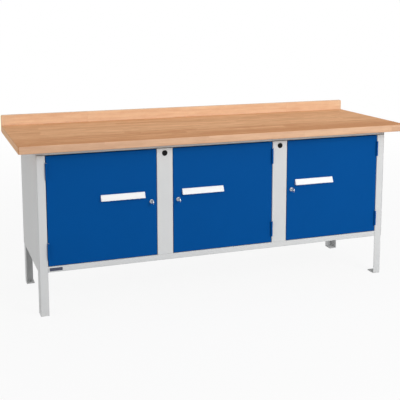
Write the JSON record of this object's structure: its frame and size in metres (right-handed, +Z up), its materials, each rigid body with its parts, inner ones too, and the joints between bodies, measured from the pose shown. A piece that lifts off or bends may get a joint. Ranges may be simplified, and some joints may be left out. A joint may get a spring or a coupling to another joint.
{
  "type": "workbench",
  "caption": "Workbench with a beech top and rear strip on a folded steel frame, with lockable cabinet bays, hinged doors, hooded pulls, shelves and turning cam locks.",
  "frame": {"origin": "on the floor, below the middle of the bench's overall box", "axes": "+X along the worktop to the viewer's right, +Y from the doors to the rear strip, +Z up"},
  "size_m": [2, 0.7002, 0.876],
  "materials": {
    "beech": "oiled, glued from strips",
    "grey_paint": "powder coat, light grey",
    "blue_paint": "powder coat, gentian blue",
    "white_plastic": "moulded, satin",
    "black_plastic": "moulded, satin",
    "nickel": "nickel plated"
  },
  "bodies": {
    "bench": {"worktop": "beech", "rear_strip": "beech", "back_panel": "grey_paint", "leg_front_left": "grey_paint", "leg_rear_left": "grey_paint", "leg_front_right": "grey_paint", "leg_rear_right": "grey_paint", "side_panel_left": "grey_paint", "side_panel_right": "grey_paint", "bottom_rail_front": "grey_paint", "bottom_rail_rear": "grey_paint", "top_rail_front": "grey_paint", "top_rail_rear": "grey_paint", "column_left": "grey_paint", "column_right": "grey_paint", "column_plug_left": "black_plastic", "column_plug_right": "black_plastic", "partition_left": "grey_paint", "partition_right": "grey_paint", "floor_left": "grey_paint", "shelf_left": "grey_paint", "hinge_frame_leaf_left_top": "blue_paint", "hinge_pin_left_top": "nickel", "hinge_frame_leaf_left_bottom": "blue_paint", "hinge_pin_left_bottom": "nickel", "floor_middle": "grey_paint", "shelf_middle": "grey_paint", "hinge_frame_leaf_middle_top": "blue_paint", "hinge_pin_middle_top": "nickel", "hinge_frame_leaf_middle_bottom": "blue_paint", "hinge_pin_middle_bottom": "nickel", "floor_right": "grey_paint", "shelf_right": "grey_paint", "hinge_frame_leaf_right_top": "blue_paint", "hinge_pin_right_top": "nickel", "hinge_frame_leaf_right_bottom": "blue_paint", "hinge_pin_right_bottom": "nickel"},
    "left_door": {"door_left": "blue_paint", "pull_left": "white_plastic", "lock_body_left": "nickel", "hinge_door_leaf_left_top": "blue_paint", "hinge_door_leaf_left_bottom": "blue_paint"},
    "left_lock": {"lock_core_left": "nickel", "key_left": "nickel"},
    "middle_door": {"door_middle": "blue_paint", "pull_middle": "white_plastic", "lock_body_middle": "nickel", "hinge_door_leaf_middle_top": "blue_paint", "hinge_door_leaf_middle_bottom": "blue_paint"},
    "middle_lock": {"lock_core_middle": "nickel", "key_middle": "nickel"},
    "right_door": {"door_right": "blue_paint", "pull_right": "white_plastic", "lock_body_right": "nickel", "hinge_door_leaf_right_top": "blue_paint", "hinge_door_leaf_right_bottom": "blue_paint"},
    "right_lock": {"lock_core_right": "nickel", "key_right": "nickel"}
  },
  "joints": [
    {"name": "left_door_hinge", "type": "hinge", "parent": "bench", "child": "left_door", "pos_m": [-0.87, -0.28645, 0.49935], "axis": [0, 0, -1], "range_deg": [0, 110]},
    {"name": "left_lock_turn", "type": "hinge", "parent": "left_door", "child": "left_lock", "pos_m": [-0.372, -0.28115, 0.5072], "axis": [0, 1, 0], "range_deg": [0, 90]},
    {"name": "middle_door_hinge", "type": "hinge", "parent": "bench", "child": "middle_door", "pos_m": [0.261, -0.28645, 0.49935], "axis": [0, 0, 1], "range_deg": [0, 110]},
    {"name": "middle_lock_turn", "type": "hinge", "parent": "middle_door", "child": "middle_lock", "pos_m": [-0.237, -0.28115, 0.5072], "axis": [0, -1, 0], "range_deg": [0, 90]},
    {"name": "right_door_hinge", "type": "hinge", "parent": "bench", "child": "right_door", "pos_m": [0.87, -0.28645, 0.49935], "axis": [0, 0, 1], "range_deg": [0, 110]},
    {"name": "right_lock_turn", "type": "hinge", "parent": "right_door", "child": "right_lock", "pos_m": [0.372, -0.28115, 0.5072], "axis": [0, -1, 0], "range_deg": [0, 90]}
  ]
}
